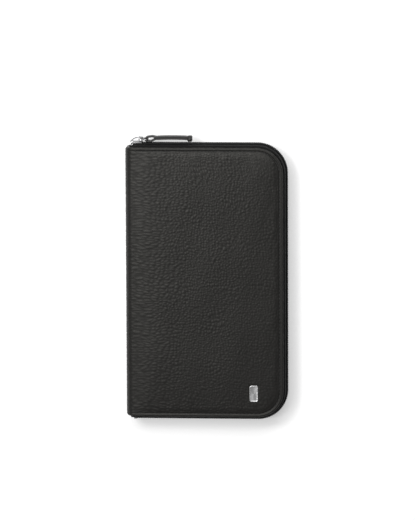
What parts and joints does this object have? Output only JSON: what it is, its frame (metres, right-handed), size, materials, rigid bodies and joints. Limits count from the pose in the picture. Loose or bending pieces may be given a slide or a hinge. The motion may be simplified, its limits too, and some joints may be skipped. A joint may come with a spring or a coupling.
{
  "type": "travel document organizer",
  "caption": "Zip-around leather travel wallet that opens flat on a folding spine, with passport, note, card and zip pockets and a pen loop.",
  "frame": {"origin": "centre of the rear cover's outer face, which the closed wallet lies on", "axes": "+X from the spine to the long zip run, +Y to the top edge that carries the slider, +Z through the thickness to the front cover"},
  "size_m": [0.133, 0.2339, 0.0258],
  "materials": {
    "outer_leather": "satin",
    "smooth_leather": "satin",
    "stiff_board": "matte",
    "lining_cloth": "matte",
    "zip_tape": "matte",
    "nylon_teeth": "satin",
    "plated_metal": "polished",
    "brushed_metal": "satin"
  },
  "bodies": {
    "rear_cover": {"rear_leather": "outer_leather", "rear_board": "stiff_board", "rear_lining": "lining_cloth", "zip_tape_rear": "zip_tape", "zip_teeth_rear": "nylon_teeth", "zip_end_stop": "plated_metal", "zip_pocket_gusset": "lining_cloth", "zip_pocket_panel": "smooth_leather", "zip_pocket_top_panel": "smooth_leather", "coin_zip_tape": "zip_tape", "coin_zip_teeth": "nylon_teeth", "passport_pocket_gusset": "lining_cloth", "passport_pocket_panel": "smooth_leather"},
    "spine": {"spine_leather": "outer_leather", "spine_board": "stiff_board", "spine_lining": "lining_cloth", "pen_loop": "smooth_leather", "zip_end_tab_top": "smooth_leather", "zip_end_tab_bottom": "smooth_leather"},
    "front_cover": {"front_leather": "outer_leather", "front_board": "stiff_board", "front_lining": "lining_cloth", "zip_tape_front": "zip_tape", "zip_teeth_front": "nylon_teeth", "badge_plaque": "brushed_metal", "badge_backing": "brushed_metal", "note_pocket_gusset": "lining_cloth", "note_pocket_panel": "smooth_leather", "card_slot_1": "smooth_leather", "card_slot_2": "smooth_leather", "card_slot_3": "smooth_leather", "card_slot_4": "smooth_leather", "card_slot_5": "smooth_leather", "card_slot_6": "smooth_leather", "card_slot_7": "smooth_leather", "card_slot_8": "smooth_leather"},
    "zip_slider": {"zip_slider_body": "plated_metal", "zip_slider_bail": "plated_metal"},
    "puller_ring": {"puller_ring": "plated_metal"},
    "pull_tab": {"pull_tab": "smooth_leather", "pull_tab_end": "smooth_leather"},
    "coin_slider": {"coin_slider_body": "plated_metal", "coin_slider_bail": "plated_metal"},
    "coin_pull": {"coin_pull": "plated_metal"}
  },
  "joints": [
    {"name": "spine_fold", "type": "hinge", "parent": "rear_cover", "child": "spine", "pos_m": [-0.0642, 0, 0.0023], "axis": [0, -1, 0], "range_deg": [0, 90]},
    {"name": "cover_fold", "type": "hinge", "parent": "spine", "child": "front_cover", "pos_m": [-0.0642, 0, 0.0227], "axis": [0, -1, 0], "range_deg": [0, 90], "deforming": ["zip_tape_front", "zip_teeth_front"]},
    {"name": "zip_slide", "type": "slide", "parent": "rear_cover", "child": "zip_slider", "axis": [1, 0, 0], "range_m": [0, 0.088], "deforming": ["zip_tape_rear", "zip_teeth_rear"]},
    {"name": "ring_swing", "type": "hinge", "parent": "zip_slider", "child": "puller_ring", "pos_m": [-0.0543, 0.1163, 0.0125], "axis": [0, 0, 1], "range_deg": [0, 120]},
    {"name": "tab_swing", "type": "hinge", "parent": "puller_ring", "child": "pull_tab", "pos_m": [-0.0476, 0.1163, 0.0125], "axis": [0, 0, 1], "range_deg": [0, 35]},
    {"name": "coin_zip_slide", "type": "slide", "parent": "rear_cover", "child": "coin_slider", "axis": [1, 0, 0], "range_m": [0, 0.084], "deforming": ["coin_zip_tape", "coin_zip_teeth"]},
    {"name": "coin_pull_lift", "type": "hinge", "parent": "coin_slider", "child": "coin_pull", "pos_m": [-0.043, 0.078, 0.00795], "axis": [0, -1, 0], "range_deg": [0, 35]}
  ],
  "couplings": [
    {"joint": "cover_fold", "follows": "spine_fold", "ratio": 1}
  ]
}
